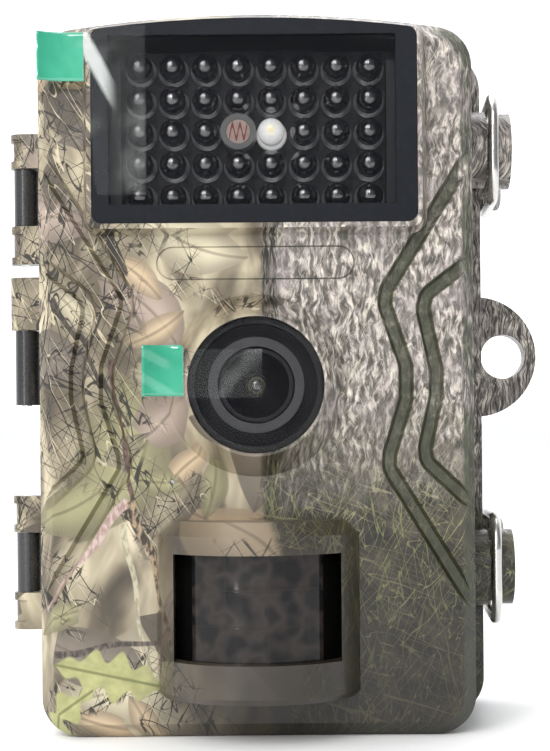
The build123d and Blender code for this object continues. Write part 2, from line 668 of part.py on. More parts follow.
# ---------------------------------------------------------------- latches
TIP_RUN = (BAIL_TIP[0] - BAIL_PIVOT[0], BAIL_TIP[1] - BAIL_PIVOT[1])
BAIL_L = sqrt(TIP_RUN[0] ** 2 + TIP_RUN[1] ** 2)

with BuildPart() as latch_pins:
    for z in LATCH_Z.values():
        rod_z(*LEVER_PIVOT, (z - 6.6, z + 6.6), PIN_R)
save(latch_pins.part, "latch_pins")

for side, mid in LATCH_Z.items():
    with BuildPart() as lever:
        slab((44.9, 48.5), (-0.5, 13.5), (mid - LEVER_HALF_H, mid + LEVER_HALF_H))
        with BuildSketch(Plane.XY.offset(mid - LEVER_HALF_H)):
            with BuildLine():
                Polyline((48.4, 8.5), (51.2, 13.5), (48.4, 13.5), close=True)
            make_face()
        extrude(amount=2 * LEVER_HALF_H)
        fillet(lever.edges().filter_by(Axis.X).group_by(Axis.Y)[-1], 3.0)
        rod_z(*LEVER_PIVOT, (mid - 3.4, mid + 3.4), 2.0)
        slab((45.2, 48.5), (LEVER_PIVOT[1], 0), (mid - 3.4, mid + 3.4))
        rod_z(*LEVER_PIVOT, (mid - 3.5, mid + 3.5), RUN_R, Mode.SUBTRACT)
        for end in (-1, 1):
            hole = sorted((mid + end * 6.2, mid + end * (LEVER_HALF_H + 0.1)))
            rod_z(*BAIL_PIVOT, hole, RUN_R, Mode.SUBTRACT)
    save(lever.part, f"latch_lever_{side}")

    bail_plane = Plane(
        origin=(BAIL_PIVOT[0], BAIL_PIVOT[1], mid),
        x_dir=(TIP_RUN[0], TIP_RUN[1], 0),
        z_dir=(TIP_RUN[1], -TIP_RUN[0], 0),
    )
    with BuildPart() as bail:
        with BuildLine(bail_plane) as wire:
            FilletPolyline(
                (0, 6.5), (0, BAIL_HALF_H), (BAIL_L, BAIL_HALF_H),
                (BAIL_L, -BAIL_HALF_H), (0, -BAIL_HALF_H), (0, -6.5),
                radius=[1.6, 6.0, 6.0, 1.6],
            )
        with BuildSketch(Plane(origin=wire.line @ 0, z_dir=wire.line % 0)):
            Circle(WIRE_R)
        sweep()
    save(bail.part, f"latch_bail_{side}")

# ---------------------------------------------------------------- power
TRAY_LOW = 65.0
TRAY_HIGH = 124.0

with BuildPart() as battery_tray:
    slab((-31.6, 31.6), (-7.5, 8.5), (TRAY_LOW, TRAY_HIGH))
    with Locations((0, 0.2, (TRAY_LOW + TRAY_HIGH) / 2)):
        with GridLocations(CELL_PITCH, 1, 4, 1):
            Box(CELL_PITCH - 0.6, 15.6, TRAY_HIGH - TRAY_LOW - 3, mode=Mode.SUBTRACT)
    for z in TRAY_SCREW_Z:
        slab((-37.8, 37.8), (-5.1, -3.5), (z - 3, z + 3))
        slab((-30.4, 30.4), (-7.6, 7.9), (z - 3.1, z + 3.1), Mode.SUBTRACT)
        for x in (-TRAY_SCREW_X, TRAY_SCREW_X):
            rod_y(x, z, (-5.2, -3.4), 1.3, Mode.SUBTRACT)
        with Locations((0, 2.0, z)):
            with GridLocations(CELL_PITCH, 1, 3, 1):
                Box(0.6, 11.6, 6.2)
save(battery_tray.part, "battery_tray")

with BuildPart() as tray_screws:
    for x in (-TRAY_SCREW_X, TRAY_SCREW_X):
        for z in TRAY_SCREW_Z:
            rod_y(x, z, (-6.2, -5.1), 2.2)
            rod_y(x, z, (-5.2, -3.5), 1.2)
save(tray_screws.part, "tray_screws")

CELL_X = [(column - 1.5) * CELL_PITCH for column in range(4)]

with BuildPart() as aa_cells:
    for x in CELL_X:
        rod_z(x, CELL_Y, (CELL_LOW, CELL_LOW + CELL_L - 1.2), CELL_R)
        rod_z(x, CELL_Y, (CELL_LOW + CELL_L - 1.3, CELL_LOW + CELL_L), 2.6)
save(aa_cells.part, "aa_cells")

with BuildPart() as battery_springs:
    for x in CELL_X:
        with BuildLine(Plane((x, CELL_Y, TRAY_LOW + 2.0))) as coil:
            Helix(pitch=1.3, height=2.4, radius=3.0)
        with BuildSketch(Plane(origin=coil.line @ 0, z_dir=coil.line % 0)):
            Circle(0.35)
        sweep(path=coil.line)
save(battery_springs.part, "battery_springs")

with BuildPart() as battery_contacts:
    for x in CELL_X:
        slab((x - 5, x + 5), (CELL_Y - 5, CELL_Y + 5), (TRAY_HIGH - 2.1, TRAY_HIGH - 1.6))
save(battery_contacts.part, "battery_contacts")

with BuildPart() as battery_cover:
    slab((-32.4, 32.4), (-9.2, -7.6), (TRAY_LOW - 1, TRAY_HIGH))
    with Locations((0, -9.2, TRAY_LOW + 6)):
        Box(14, 1.2, 5, mode=Mode.SUBTRACT)
save(battery_cover.part, "battery_cover")

with BuildPart() as power_pins:
    for x in POWER_X:
        rod_y(x, POWER_Z, (-COVER_BACK + 0.35, -9.0), 0.9)
        rod_y(x, POWER_Z, (-9.0, -6.0), 1.6)
save(power_pins.part, "power_pins")

with BuildPart() as dc_jack:
    slab((JACK_X - 5, JACK_X + 5), (-4.5, 4.5), (WALL, 14.0))
    rod_z(JACK_X, 0, (WALL - 0.1, 12.0), 2.8, Mode.SUBTRACT)
    rod_z(JACK_X, 0, (WALL + 1.0, 12.1), 1.0)
save(dc_jack.part, "dc_jack")

with BuildPart() as port_cover:
    slab((JACK_X - 6.3, FLAP_HINGE_X), (-4.8, 4.8), (0, FLAP_T))
    with Locations((FLAP_HINGE_X, 0, FLAP_T / 2)):
        Cylinder(FLAP_T / 2, 9.6, rotation=(90, 0, 0))
    slab((JACK_X - 6.3, JACK_X - 4.9), (-2.0, 2.0), (-0.1, 0.6), Mode.SUBTRACT)
save(port_cover.part, "port_cover")
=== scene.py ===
import math

import bmesh
import bpy
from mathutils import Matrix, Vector


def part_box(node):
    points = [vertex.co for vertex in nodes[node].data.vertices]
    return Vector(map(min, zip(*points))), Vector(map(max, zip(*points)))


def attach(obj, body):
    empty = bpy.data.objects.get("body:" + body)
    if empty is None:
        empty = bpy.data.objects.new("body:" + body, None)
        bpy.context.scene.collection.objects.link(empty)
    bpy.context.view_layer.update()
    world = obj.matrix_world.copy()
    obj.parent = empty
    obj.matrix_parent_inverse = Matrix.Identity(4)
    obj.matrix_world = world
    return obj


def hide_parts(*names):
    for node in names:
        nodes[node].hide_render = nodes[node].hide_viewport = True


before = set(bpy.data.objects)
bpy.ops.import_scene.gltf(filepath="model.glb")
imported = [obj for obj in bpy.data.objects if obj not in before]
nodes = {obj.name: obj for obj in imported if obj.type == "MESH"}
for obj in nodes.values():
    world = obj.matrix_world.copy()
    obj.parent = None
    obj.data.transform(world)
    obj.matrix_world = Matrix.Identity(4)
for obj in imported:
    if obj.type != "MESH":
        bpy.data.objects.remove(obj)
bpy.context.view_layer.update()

# ---- places read from the CAD frame, in millimetres ----
MM = 0.001


def box_mm(node):
    """Lowest and highest corner of a CAD node, in millimetres."""
    low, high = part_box(node)
    return low / MM, high / MM


def middle_mm(node):
    """Centre of a CAD node, in millimetres."""
    low, high = box_mm(node)
    return (low + high) / 2


HOOD = middle_mm("lens_hood")
SENSOR = middle_mm("light_sensor")
LAMP = middle_mm("white_led")
FACE_Y = -37.0  # front face of the case
PIR_RADIUS = 17.0  # outside of the curved motion window
PIR_AXIS_Y = box_mm("pir_window")[0].y + PIR_RADIUS
PIR_SILL_Z = 14.8
PIR_CELL_W = 8.0  # one moulded lens cell of the motion window
PIR_CELL_H = 6.6
CROWN_CURVE = 1 / 474.0  # the arched top falls by this times x squared
BORE_R = 12.6  # inside of the lens bezel


# ---------------------------------------------------------------- camera, floor and light
def add_camera():
    """Just below and right of the middle of the front face, 350 mm away, looking square at it."""
    data = bpy.data.cameras.new("camera")
    camera = bpy.data.objects.new("camera", data)
    bpy.context.scene.collection.objects.link(camera)
    camera.location = (0.008, -0.387, 0.059)
    camera.rotation_euler = (math.radians(90), math.radians(0.47), 0)
    data.lens = 90.1
    data.sensor_width = 36
    data.shift_x = -0.033
    data.shift_y = 0.059
    data.clip_start = 0.01
    data.clip_end = 20
    bpy.context.scene.camera = camera


def add_light(name, place, aim, size, power, colour=(1, 1, 1), tall=1.0):
    """A soft lamp at place, turned to aim; tall is its height over its width."""
    data = bpy.data.lights.new(name, "AREA")
    data.shape = "RECTANGLE"
    data.size = size
    data.size_y = size * tall
    data.energy = power
    data.color = colour
    lamp = bpy.data.objects.new(name, data)
    bpy.context.scene.collection.objects.link(lamp)
    lamp.location = place
    lamp.rotation_euler = (Vector(aim) - Vector(place)).to_track_quat("-Z", "Y").to_euler()


def add_world(front, behind):
    """White surroundings: bright behind; in front bright above and left, dark below and right."""
    world = bpy.data.worlds.new("studio")
    world.use_nodes = True
    tree = world.node_tree
    direction = tree.nodes.new("ShaderNodeTexCoord").outputs["Generated"]
    split = tree.nodes.new("ShaderNodeSeparateXYZ")
    tree.links.new(direction, split.inputs[0])

    def fade(axis, low, high, to_low, to_high):
        made = tree.nodes.new("ShaderNodeMapRange")
        made.interpolation_type = "SMOOTHSTEP"
        tree.links.new(split.outputs[axis], made.inputs["Value"])
        for key, value in (("From Min", low), ("From Max", high), ("To Min", to_low), ("To Max", to_high)):
            made.inputs[key].default_value = value
        return made

    lift = fade("Z", -0.30, 0.45, 0.10, 1.0)
    dim = fade("X", -0.5, 0.7, 1.35, 0.22)
    tree.links.new(lift.outputs["Result"], dim.inputs["To Min"])
    product = tree.nodes.new("ShaderNodeMath")
    product.operation = "MULTIPLY"
    product.inputs[1].default_value = front
    tree.links.new(dim.outputs["Result"], product.inputs[0])
    blend = fade("Y", -0.2, 0.6, 0.0, behind)
    tree.links.new(product.outputs[0], blend.inputs["To Min"])
    background = tree.nodes["Background"]
    background.inputs["Color"].default_value = (0.97, 0.98, 1.0, 1)
    tree.links.new(blend.outputs["Result"], background.inputs["Strength"])
    bpy.context.scene.world = world
    bpy.context.scene.view_settings.view_transform = "Standard"


# ---------------------------------------------------------------- shader building
class Shader:
    """Builds one material's node graph."""

    def __init__(self, name, **settings):
        self.material = bpy.data.materials.new(name)
        self.material.use_nodes = True
        self.tree = self.material.node_tree
        self.surface = self.tree.nodes["Principled BSDF"]
        for key, value in settings.items():
            self.surface.inputs[key.replace("_", " ")].default_value = value

    def node(self, kind, _inputs=None, **settings):
        made = self.tree.nodes.new("ShaderNode" + kind)
        for key, value in settings.items():
            setattr(made, key, value)
        for key, value in (_inputs or {}).items():
            self.plug(made.inputs[key], value)
        return made

    def plug(self, socket, value):
        if isinstance(value, bpy.types.NodeSocket):
            self.tree.links.new(value, socket)
        else:
            socket.default_value = value

    def set(self, name, value):
        self.plug(self.surface.inputs[name], value)

    def math(self, operation, a, b=0.0, c=0.0, clamp=False):
        made = self.node("Math", {0: a, 1: b, 2: c}, operation=operation, use_clamp=clamp)
        return made.outputs[0]

    def step(self, value, low, high):
        """0 below low, 1 above high, smooth between."""
        made = self.node(
            "MapRange", {"Value": value, "From Min": low, "From Max": high}, interpolation_type="SMOOTHSTEP"
        )
        return made.outputs["Result"]

    def within(self, value, low, high, soft):
        """1 between low and high, with soft edges."""
        above = self.step(value, low - soft, low + soft)
        below = self.step(value, high + soft, high - soft)
        return self.math("MULTIPLY", above, below)

    def position(self):
        """Position on the object in millimetres."""
        coordinates = self.node("TexCoord").outputs["Object"]
        return self.node("VectorMath", {0: coordinates, "Scale": 1000.0}, operation="SCALE").outputs[0]

    def split(self, vector):
        return self.node("SeparateXYZ", {0: vector}).outputs

    def join(self, x, y, z=0.0):
        return self.node("CombineXYZ", {0: x, 1: y, 2: z}).outputs[0]

    def turned(self, vector, degrees):
        made = self.node("VectorRotate", {"Vector": vector, "Angle": math.radians(degrees)})
        return made.outputs[0]

    def noise(self, vector, scale, detail=3.0, rough=0.55, warp=0.0):
        made = self.node(
            "TexNoise",
            {"Vector": vector, "Scale": scale, "Detail": detail, "Roughness": rough, "Distortion": warp},
        )
        return made.outputs["Fac"]

    def mix(self, factor, a, b, blend="MIX"):
        made = self.node("Mix", data_type="RGBA", blend_type=blend)
        self.plug(made.inputs[0], factor)
        self.plug(made.inputs[6], a)
        self.plug(made.inputs[7], b)
        return made.outputs[2]

    def ramp(self, value, stops, interpolation="LINEAR"):
        made = self.node("ValToRGB", {0: value})
        made.color_ramp.interpolation = interpolation
        elements = made.color_ramp.elements
        while len(elements) < len(stops):
            elements.new(0.5)
        for element, (place, colour) in zip(elements, stops):
            element.position = place
            element.color = (*colour, 1)
        return made.outputs["Color"]

    def bump(self, height, strength, distance=0.0003, under=None):
        inputs = {"Height": height, "Strength": strength, "Distance": distance}
        if under is not None:
            inputs["Normal"] = under
        return self.node("Bump", inputs).outputs[0]


def rgb(r, g, b):
    return (r, g, b, 1.0)


# ---------------------------------------------------------------- camouflage
def unfolded(s):
    """Flat coordinates wrapped from the front face round the sides and over the top, apart on the back."""
    x, y, z = s.split(s.position())[:3]
    normal = s.split(s.node("TexCoord").outputs["Normal"])
    depth = s.math("SUBTRACT", y, FACE_Y)
    side = s.math("MAXIMUM", s.math("MINIMUM", s.math("DIVIDE", x, 35.0), 1.0), -1.0)
    above = s.step(s.math("ABSOLUTE", normal[2]), 0.80, 0.90)
    side = s.math("MULTIPLY", side, s.math("SUBTRACT", 1.0, above))
    wrapped = s.math("MULTIPLY_ADD", side, depth, x)
    behind = s.step(normal[1], 0.60, 0.72)
    back_u = s.math("SUBTRACT", 4.0, x)
    u = s.math("MULTIPLY_ADD", behind, s.math("SUBTRACT", back_u, wrapped), wrapped)
    v = s.math("MULTIPLY_ADD", depth, s.math("MULTIPLY_ADD", above, 0.65, 0.35), z)
    return x, y, z, u, v


def inside_shell(s, x, y, z):
    """1 on the unprinted faces: the shells' insides, the lens bore and the window opening."""
    crown = s.math("MULTIPLY_ADD", s.math("MULTIPLY", x, x), CROWN_CURVE, z)
    across = s.step(s.math("ABSOLUTE", x), 38.6, 38.5)
    tall = s.math("MULTIPLY", s.step(z, 2.30, 2.38), s.step(crown, 132.8, 132.7))
    deep = s.math("MULTIPLY", s.step(y, -34.8, -34.7), s.step(y, 8.8, 8.7))
    cavity = s.math("MULTIPLY", across, s.math("MULTIPLY", tall, deep))
    radial = s.join(s.math("SUBTRACT", x, HOOD.x), s.math("SUBTRACT", z, HOOD.z))
    out = s.node("VectorMath", {0: radial}, operation="LENGTH").outputs["Value"]
    bore = s.math("MULTIPLY", s.step(out, BORE_R + 0.02, BORE_R - 0.02), s.step(y, -41.7, -41.6))
    pane = s.math("MULTIPLY", s.step(s.math("ABSOLUTE", x), 30.1, 30.0), s.step(y, -39.75, -39.65))
    pane = s.math("MULTIPLY", pane, s.math("MULTIPLY", s.step(z, 95.6, 95.7), s.step(crown, 133.3, 133.2)))
    openings = s.math("MULTIPLY", s.math("MAXIMUM", bore, pane), s.step(y, -34.0, -34.2))
    return s.math("MAXIMUM", cavity, openings)


def leaf_layer(s, plane, cell, half_length, half_width, blur, shift):
    """Scattered pointed leaves: returns where they are, their shade number and the vein line."""
    moved = s.node("VectorMath", {0: plane, 1: (shift, shift * 0.7, 0)}, operation="ADD").outputs[0]
    settings = {"Vector": moved, "Scale": 1 / cell, "Randomness": 0.9}
    cells = s.node("TexVoronoi", settings, voronoi_dimensions="2D")
    local = s.node("VectorMath", {0: moved, 1: cells.outputs["Position"]}, operation="SUBTRACT").outputs[0]
    red, green, blue = s.split(cells.outputs["Color"])[:3]
    angle = s.math("MULTIPLY", red, 6.283)
    turned = s.node("VectorRotate", {"Vector": local, "Angle": angle}).outputs[0]
    along, across, _ = s.split(turned)[:3]
    bend = s.math("MULTIPLY", s.math("POWER", s.math("ABSOLUTE", along), 2.0), 0.02)
    across = s.math("ADD", across, bend)
    length_part = s.math("POWER", s.math("DIVIDE", along, half_length), 2.0)
    width_part = s.math("DIVIDE", s.math("ABSOLUTE", across), half_width)
    shape = s.math("ADD", length_part, width_part)
    mask = s.step(shape, 1.0 + blur, 1.0 - blur)
    vein = s.math("MULTIPLY", s.step(s.math("ABSOLUTE", across), 0.45, 0.1), mask)
    return mask, green, blue, vein, shape


def strands(s, plane, degrees, long_scale, thin_scale, width, shift=0.0):
    """Long thin strokes that lie mostly one way: the level lines of a stretched noise."""
    turned = s.split(s.turned(plane, degrees))
    stretched = s.join(
        s.math("MULTIPLY_ADD", turned[0], thin_scale, shift), s.math("MULTIPLY", turned[1], long_scale)
    )
    level = s.math("ABSOLUTE", s.math("SUBTRACT", s.noise(stretched, 1.0, 1.0, 0.4, 0.3), 0.5))
    return s.step(level, width, width * 0.35)


def leaf_litter(s, plane, u, v):
    """Dry leaves under thin dark twigs, with a pink branch and a brown stem: the left of the case."""
    soft = s.join(s.math("MULTIPLY", u, 1.6), s.math("MULTIPLY", v, 0.7))
    cloud = s.noise(soft, 1 / 16, 3.0, 0.5, 0.6)
    colour = s.ramp(
        cloud,
        [(0.30, (0.10, 0.085, 0.065)), (0.43, (0.20, 0.175, 0.135)), (0.55, (0.33, 0.30, 0.235)),
         (0.70, (0.50, 0.46, 0.37))],
    )
    shades = [
        (0.0, (0.50, 0.42, 0.31)), (0.17, (0.24, 0.215, 0.19)), (0.34, (0.50, 0.47, 0.38)),
        (0.5, (0.15, 0.13, 0.105)), (0.64, (0.39, 0.335, 0.30)), (0.80, (0.34, 0.33, 0.215)),
        (0.90, (0.11, 0.10, 0.075)),
    ]
    for cell, length, width, blur, shift, strength in (
        (30.0, 17.0, 9.0, 0.05, 3.0, 0.85),
        (19.0, 11.0, 5.4, 0.03, 41.0, 0.85),
        (12.0, 6.5, 2.6, 0.05, 83.0, 0.80),
    ):
        mask, shade, light, vein, shape = leaf_layer(s, plane, cell, length, width, blur, shift)
        leaf = s.ramp(shade, shades, "CONSTANT")
        leaf = s.mix(s.math("MULTIPLY", s.step(shape, 0.1, 1.0), 0.5), leaf, rgb(0.13, 0.11, 0.09))
        leaf = s.mix(s.math("MULTIPLY", vein, 0.4), leaf, rgb(0.11, 0.09, 0.065))
        kept = s.math("MULTIPLY", mask, s.step(light, 0.38, 0.42))
        colour = s.mix(s.math("MULTIPLY", kept, strength), colour, leaf)
    thicket = s.math("MULTIPLY", s.step(u, -19.0, -26.0), s.step(v, 42.0, 58.0))
    patch = s.math("MAXIMUM", s.step(s.noise(plane, 1 / 17, 2.0), 0.50, 0.58), thicket)
    twigs = ((20, 0.016, 3.0), (-24, 0.015, 19.0), (58, 0.011, 31.0), (-65, 0.010, 47.0))
    for degrees, width, shift in twigs:
        twig = s.math("MULTIPLY", strands(s, plane, degrees, 0.05, 0.34, width, shift), patch)
        colour = s.mix(s.math("MULTIPLY", twig, 0.9), colour, rgb(0.050, 0.042, 0.032))
    pale = s.math("MULTIPLY", strands(s, plane, -32, 0.05, 0.4, 0.010, 71.0), patch)
    colour = s.mix(s.math("MULTIPLY", pale, 0.7), colour, rgb(0.52, 0.48, 0.38))
    grain = s.noise(s.join(s.math("MULTIPLY", u, 1.2), s.math("MULTIPLY", v, 0.5)), 1.0, 3.0)
    for start, end, width, dark, light in (
        ((-24.0, 44.0), (-41.0, 24.5), 0.95, (0.34, 0.27, 0.25), (0.46, 0.38, 0.36)),
        ((-28.0, 71.0), (-23.6, 44.0), 0.75, (0.10, 0.06, 0.05), (0.20, 0.14, 0.12)),
        ((-23.6, 44.0), (-13.5, 15.0), 0.95, (0.07, 0.055, 0.045), (0.36, 0.29, 0.21)),
        ((-25.0, 40.0), (-20.5, 12.0), 0.60, (0.33, 0.31, 0.24), (0.44, 0.42, 0.34)),
        ((-38.0, 82.0), (-24.0, 58.0), 0.55, (0.06, 0.05, 0.04), (0.13, 0.11, 0.09)),
        ((-38.0, 15.6), (-15.0, 18.6), 0.70, (0.09, 0.075, 0.07), (0.20, 0.17, 0.15)),
    ):
        on = stick(s, u, v, start, end, width)
        wood = s.mix(s.step(grain, 0.4, 0.6), rgb(*dark), rgb(*light))
        colour = s.mix(s.math("MULTIPLY", on, 0.92), colour, wood)
    return colour


def stick(s, u, v, start, end, width):
    """A branch between two places on the unfolded surface, a little crooked and thinner at its far end."""
    run = (end[0] - start[0], end[1] - start[1])
    length = math.hypot(*run)
    du = s.math("SUBTRACT", u, start[0])
    dv = s.math("SUBTRACT", v, start[1])
    cosine = run[0] / length
    sine = run[1] / length
    along = s.math("ADD", s.math("MULTIPLY", du, cosine), s.math("MULTIPLY", dv, sine))
    across = s.math("SUBTRACT", s.math("MULTIPLY", dv, cosine), s.math("MULTIPLY", du, sine))
    kink = s.math("MULTIPLY", s.math("SINE", s.math("MULTIPLY", along, 0.42)), 0.55 * width)
    off = s.math("ABSOLUTE", s.math("ADD", across, kink))
    reach = s.math("MULTIPLY_ADD", along, -0.5 * width / length, width)
    side = s.step(s.math("SUBTRACT", off, reach), 0.15, -0.15)
    return s.math("MULTIPLY", side, s.within(along, 0.0, length, 0.3))


def lobed_leaf(s, u, v, colour, place, degrees, half_length):
    """One yellow-green leaf with wavy lobes."""
    local = s.join(s.math("SUBTRACT", u, place[0]), s.math("SUBTRACT", v, place[1]))
    along, across, _ = s.split(s.turned(local, degrees))[:3]
    lobes = s.math("MULTIPLY_ADD", s.math("SINE", s.math("MULTIPLY", along, 1.25)), 1.3, half_length * 0.33)
    taper = s.math("SUBTRACT", 1.0, s.math("POWER", s.math("DIVIDE", along, half_length), 2.0))
    edge = s.math("SUBTRACT", s.math("ABSOLUTE", across), s.math("MULTIPLY", lobes, taper))
    mask = s.math("MULTIPLY", s.step(edge, 0.35, -0.35), s.step(taper, 0.0, 0.05))
    vein = s.step(s.math("ABSOLUTE", across), 0.4, 0.12)
    tone = s.mix(s.noise(s.join(u, v), 0.4, 2.0), rgb(0.27, 0.28, 0.15), rgb(0.47, 0.46, 0.28))
    tone = s.mix(s.math("MULTIPLY", vein, 0.6), tone, rgb(0.16, 0.17, 0.07))
    return s.mix(mask, colour, tone)


def bark(s, plane, u, v):
    """Pale flaking bark: small upright flakes, and a few dark furrows along its left edge."""
    waver = s.math("MULTIPLY_ADD", s.noise(plane, 1 / 6, 2.0), 3.0, u)
    tall = s.join(waver, s.math("MULTIPLY", v, 0.36))
    flakes = s.noise(tall, 1.05, 4.0, 0.64, 0.5)
    colour = s.ramp(
        flakes,
        [(0.38, (0.055, 0.052, 0.036)), (0.45, (0.17, 0.155, 0.135)), (0.51, (0.30, 0.275, 0.26)),
         (0.57, (0.44, 0.415, 0.38)), (0.68, (0.60, 0.575, 0.51))],
    )
    lilac = s.noise(plane, 1 / 11, 3.0)
    colour = s.mix(s.math("MULTIPLY", s.step(lilac, 0.48, 0.62), 0.45), colour, rgb(0.29, 0.26, 0.265))
    scratch = strands(s, plane, 30, 0.06, 0.5, 0.006, 7.0)
    colour = s.mix(s.math("MULTIPLY", scratch, 0.55), colour, rgb(0.56, 0.55, 0.44))
    thin = s.noise(s.join(s.math("MULTIPLY", waver, 1.6), s.math("MULTIPLY", v, 0.10)), 1.0, 2.0, 0.5)
    furrow = s.step(s.math("ABSOLUTE", s.math("SUBTRACT", thin, 0.5)), 0.05, 0.01)
    far_edge = s.math("MULTIPLY", s.step(u, 38.0, 42.0), 0.8)
    near_edge = s.math("MAXIMUM", s.within(u, 0.0, 4.0, 1.2), far_edge)
    upright = s.join(s.math("MULTIPLY", waver, 0.9), s.math("MULTIPLY", v, 0.16))
    cracks = s.step(s.noise(upright, 1.0, 3.0, 0.6), 0.47, 0.40)
    colour = s.mix(s.math("MULTIPLY", cracks, 0.50), colour, rgb(0.070, 0.068, 0.042))
    column = s.within(u, 0.0, 3.6, 1.0)
    colour = s.mix(0.26, colour, rgb(0.350, 0.330, 0.322))
    colour = s.mix(s.math("MULTIPLY", column, 0.5), colour, rgb(0.085, 0.075, 0.055))
    return s.mix(s.math("MULTIPLY", furrow, near_edge), colour, rgb(0.030, 0.028, 0.018))


def grass(s, plane):
    """Dark litter under thin yellow-green blades, as on the lower right."""
    colour = s.ramp(
        s.noise(plane, 1 / 7, 4.0, 0.65),
        [(0.35, (0.030, 0.026, 0.020)), (0.52, (0.075, 0.066, 0.052)), (0.7, (0.16, 0.14, 0.115))],
    )
    blades = (
        (62, 0.018, (0.11, 0.105, 0.07)),
        (-48, 0.016, (0.15, 0.15, 0.085)),
        (15, 0.014, (0.20, 0.21, 0.11)),
        (-14, 0.014, (0.24, 0.25, 0.13)),
        (36, 0.011, (0.30, 0.30, 0.17)),
        (-72, 0.010, (0.26, 0.25, 0.16)),
    )
    for index, (degrees, width, tone) in enumerate(blades):
        blade = strands(s, plane, degrees, 0.055, 0.55, width, 13.0 * index)
        colour = s.mix(s.math("MULTIPLY", blade, 0.85), colour, rgb(*tone))
    return colour


def camouflage():
    """Water-transfer print under satin lacquer: leaves left, bark upper right, grass lower right. Painted
    shade darkens it towards the foot, on the right-hand edge, on the motion sensor's hood and in the
    grooves.
    """
    s = Shader("camouflage", Coat_Weight=0.35, Coat_Roughness=0.25, Specular_IOR_Level=0.35)
    x, y, z, u, v = unfolded(s)
    plane = s.join(u, v)
    wobble = s.math("MULTIPLY", s.math("SUBTRACT", s.noise(plane, 1 / 5, 3.0), 0.5), 7.0)
    left = leaf_litter(s, plane, u, v)
    left = lobed_leaf(s, u, v, left, (-27.5, 11.5), 12.0, 11.0)
    left = lobed_leaf(s, u, v, left, (-36.5, 5.0), -35.0, 7.0)
    low = s.step(s.math("ADD", v, s.math("MULTIPLY", wobble, 3.4)), 66.0, 34.0)
    right = s.mix(low, bark(s, plane, u, v), grass(s, plane))
    below = s.math("MAXIMUM", s.math("SUBTRACT", 44.0, v), 0.0)
    edge = s.math("SUBTRACT", u, s.math("MULTIPLY", below, 0.12))
    divide = s.step(s.math("MULTIPLY_ADD", wobble, 0.25, edge), 0.3, 1.9)
    colour = s.mix(divide, left, right)
    # Painted shade: the print is darkened towards the foot from the middle rightwards, where the light from
    # above falls off.
    shade = s.math("MULTIPLY", s.step(v, 48.0, 4.0), s.step(u, -26.0, -8.0))
    colour = s.mix(s.math("MULTIPLY", shade, 0.68), colour, rgb(0.050, 0.043, 0.034))
    # Painted shade, mottled in dark print green: the right-hand edge band just behind the front face is
    # darkened.
    right_edge_shade = s.math("MULTIPLY", s.within(y, FACE_Y + 0.4, FACE_Y + 2.4, 0.25), s.step(u, 10.0, 34.0))
    right_edge_shade = s.math("MULTIPLY", right_edge_shade, s.step(s.noise(plane, 1 / 12, 2.0), 0.4, 0.55))
    colour = s.mix(s.math("MULTIPLY", right_edge_shade, 0.55), colour, rgb(0.085, 0.10, 0.06))
    # Painted shade: the motion sensor's hood, low on the face, is darkened.
    hood_shade = s.math("MULTIPLY", s.step(y, FACE_Y - 0.8, FACE_Y - 1.6), s.step(z, 49.0, 46.0))
    colour = s.mix(s.math("MULTIPLY", hood_shade, 0.42), colour, rgb(0.095, 0.082, 0.066))
    depth = s.math("SUBTRACT", y, FACE_Y)
    # Painted shade in the grooves of the face, strong on the right and faint on the left, with a dark green
    # mottle like the print.
    groove_shade = s.math("MULTIPLY", s.within(depth, 0.25, 1.6, 0.15), s.step(s.math("ABSOLUTE", x), 38.1, 37.9))
    groove_shade = s.math("MULTIPLY", groove_shade, s.within(z, 18.0, 118.0, 1.0))
    groove_shade = s.math("MULTIPLY", groove_shade, s.math("MULTIPLY_ADD", s.step(x, -6.0, 6.0), 0.62, 0.10))
    mottle = s.math("MULTIPLY_ADD", s.step(s.noise(plane, 0.5, 3.0), 0.40, 0.58), 0.35, 0.65)
    groove_shade = s.math("MULTIPLY", groove_shade, mottle)
    colour = s.mix(groove_shade, colour, rgb(0.080, 0.085, 0.052))
    colour = s.node("Gamma", {"Color": colour, "Gamma": 1.72}).outputs[0]
    colour = s.node("HueSaturation", {"Color": colour, "Saturation": 0.94, "Value": 1.95}).outputs[0]
    grain = s.noise(s.position(), 2.6, 2.0, 0.6)
    inner = inside_shell(s, x, y, z)
    plain = s.mix(grain, rgb(0.020, 0.021, 0.020), rgb(0.034, 0.035, 0.033))
    s.set("Base Color", s.mix(inner, colour, plain))
    wave = s.noise(s.position(), 0.09, 2.0, 0.5)
    satin = s.math("MULTIPLY_ADD", inner, 0.22, 0.30)
    s.set("Roughness", s.math("MULTIPLY_ADD", grain, 0.16, satin))
    s.set("Normal", s.bump(wave, 0.3, 0.0004, s.bump(grain, 0.15, 0.00005)))
    return s.material


# ---------------------------------------------------------------- other materials
def plastic(name, dark, light, rough=0.42, coat=0.0, grain=1.6, relief=0.25):
    """Moulded plastic: slight cloudiness in colour and gloss, and a fine spark-eroded grain."""
    s = Shader(name, Coat_Weight=coat, Coat_Roughness=0.15)
    p = s.position()
    s.set("Base Color", s.mix(s.noise(p, 0.12, 4.0), rgb(*dark), rgb(*light)))
    fine = s.noise(p, grain, 2.0, 0.6)
    s.set("Roughness", s.math("MULTIPLY_ADD", fine, 0.2, rough - 0.1))
    s.set("Normal", s.bump(fine, relief, 0.00008))
    return s.material


